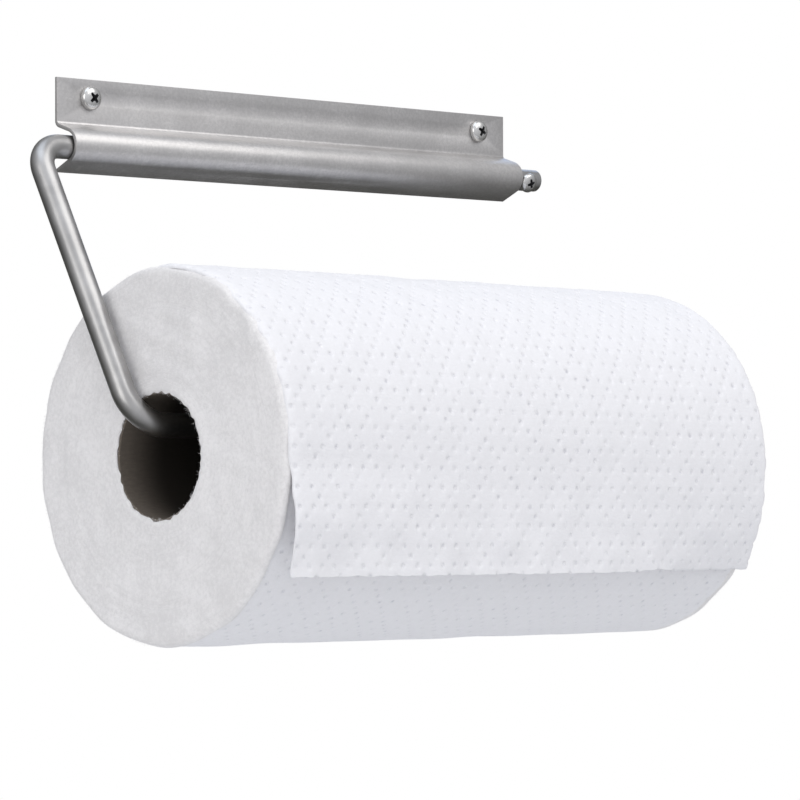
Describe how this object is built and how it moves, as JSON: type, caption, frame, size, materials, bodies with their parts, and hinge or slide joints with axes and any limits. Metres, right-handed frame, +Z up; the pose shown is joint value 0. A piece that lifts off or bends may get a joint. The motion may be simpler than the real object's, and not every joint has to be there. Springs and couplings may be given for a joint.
{
  "type": "paper towel holder",
  "caption": "Wall-mounted paper towel holder: a swing arm bent from steel rod turns in a folded sheet bracket and carries a roll on its lower leg.",
  "frame": {"origin": "middle of the two wall screws, in the bracket's back face", "axes": "+X along the bracket to its right end, +Y into the wall along the wall screws, +Z up"},
  "size_m": [0.2897, 0.1626, 0.2256],
  "materials": {
    "bracket_steel": "satin, lightly scratched",
    "rod_steel": "smooth satin",
    "screw_steel": "bright",
    "core_card": "matte",
    "towel_paper": "soft, embossed"
  },
  "bodies": {
    "bracket": {"mounting_bracket": "bracket_steel", "left_wall_screw": "screw_steel", "right_wall_screw": "screw_steel"},
    "rod": {"hanger_rod": "rod_steel", "retaining_screw": "screw_steel"},
    "core": {"cardboard_core": "core_card"},
    "paper": {"towel_roll": "towel_paper", "loose_sheet": "towel_paper"}
  },
  "joints": [
    {"name": "rod_swing", "type": "hinge", "parent": "bracket", "child": "rod", "pos_m": [0, -0.00655, -0.0205], "axis": [-1, 0, 0], "range_deg": [0, 122]},
    {"name": "roll_hang", "type": "hinge", "parent": "rod", "child": "core", "pos_m": [0, -0.06612, -0.12982], "axis": [-1, 0, 0], "range_deg": [-122, 0]},
    {"name": "roll_spin", "type": "hinge", "parent": "core", "child": "paper", "pos_m": [-0.00194, -0.07376, -0.14385], "axis": [0.9998, -0.0093, -0.0171], "continuous": true}
  ],
  "couplings": [
    {"joint": "roll_hang", "follows": "rod_swing", "ratio": -1}
  ]
}
